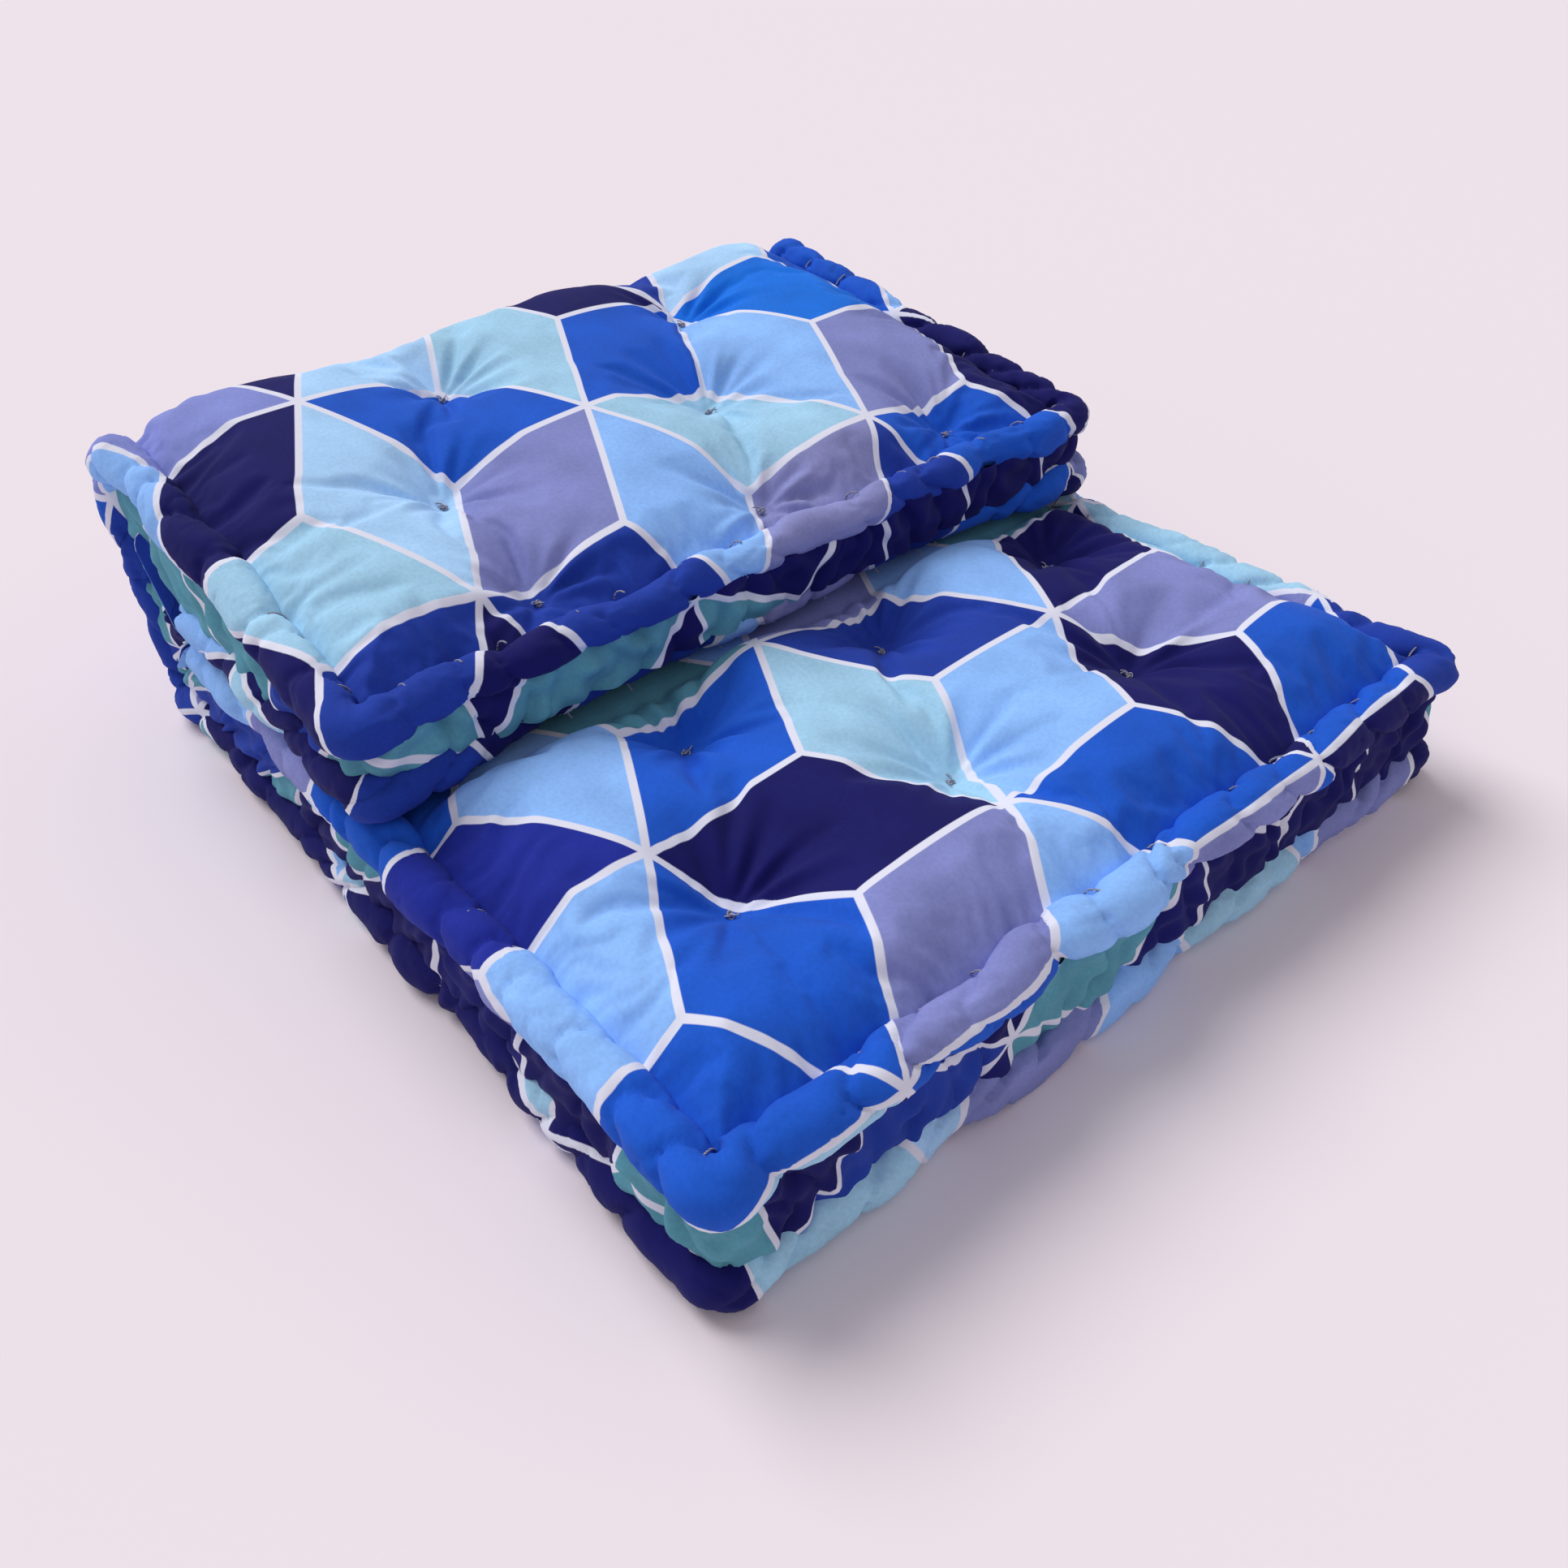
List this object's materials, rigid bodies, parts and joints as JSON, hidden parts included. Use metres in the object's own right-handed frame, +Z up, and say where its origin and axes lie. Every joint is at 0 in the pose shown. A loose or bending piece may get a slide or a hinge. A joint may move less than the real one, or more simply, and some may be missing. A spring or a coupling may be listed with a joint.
{
  "type": "futon mattress",
  "caption": "Cotton-filled tufted mattress with hand-rolled edges and a bold printed cover, folded once into two stacked leaves that open flat.",
  "frame": {"origin": "middle of the folded mattress's footprint, on the floor", "axes": "+X across the width to the right, +Y from the front edge to the fold, +Z up"},
  "size_m": [0.914, 0.99, 0.3264],
  "materials": {
    "cover_print": "plain-woven printed cotton",
    "border_print": "plain-woven printed cotton, gathered",
    "roll_print": "printed cotton stuffed and stitched into a roll",
    "cotton_batting": "carded cotton wadding",
    "waxed_twine": "twisted waxed cotton twine"
  },
  "bodies": {
    "lower_leaf": {"lower_bottom_batt": "cotton_batting", "lower_middle_batt": "cotton_batting", "lower_top_batt": "cotton_batting", "lower_bottom_face": "cover_print", "lower_top_face": "cover_print", "lower_front_border": "border_print", "lower_left_border": "border_print", "lower_right_border": "border_print", "lower_bottom_front_roll": "roll_print", "lower_bottom_left_roll": "roll_print", "lower_bottom_right_roll": "roll_print", "lower_top_front_roll": "roll_print", "lower_top_left_roll": "roll_print", "lower_top_right_roll": "roll_print", "lower_tie_threads": "waxed_twine", "lower_tie_knots": "waxed_twine", "lower_bottom_stitches": "waxed_twine", "lower_top_stitches": "waxed_twine"},
    "fold_back": {"fold_outer_batt": "cotton_batting", "fold_middle_batt": "cotton_batting", "fold_inner_batt": "cotton_batting", "fold_back_face": "cover_print", "fold_left_border": "border_print", "fold_right_border": "border_print", "fold_left_roll": "roll_print", "fold_right_roll": "roll_print"},
    "upper_leaf": {"upper_outer_batt": "cotton_batting", "upper_middle_batt": "cotton_batting", "upper_inner_batt": "cotton_batting", "upper_outer_face": "cover_print", "upper_inner_face": "cover_print", "upper_front_border": "border_print", "upper_left_border": "border_print", "upper_right_border": "border_print", "upper_outer_front_roll": "roll_print", "upper_outer_left_roll": "roll_print", "upper_outer_right_roll": "roll_print", "upper_inner_front_roll": "roll_print", "upper_inner_left_roll": "roll_print", "upper_inner_right_roll": "roll_print", "upper_tie_threads": "waxed_twine", "upper_tie_knots": "waxed_twine", "upper_outer_stitches": "waxed_twine", "upper_inner_stitches": "waxed_twine"}
  },
  "joints": [
    {"name": "lower_fold", "type": "hinge", "parent": "lower_leaf", "child": "fold_back", "pos_m": [0, 0.482, 0.013], "axis": [-1, 0, 0], "range_deg": [0, 90]},
    {"name": "upper_fold", "type": "hinge", "parent": "fold_back", "child": "upper_leaf", "pos_m": [0, 0.482, 0.32092], "axis": [-1, 0, 0], "range_deg": [0, 98.48]}
  ]
}
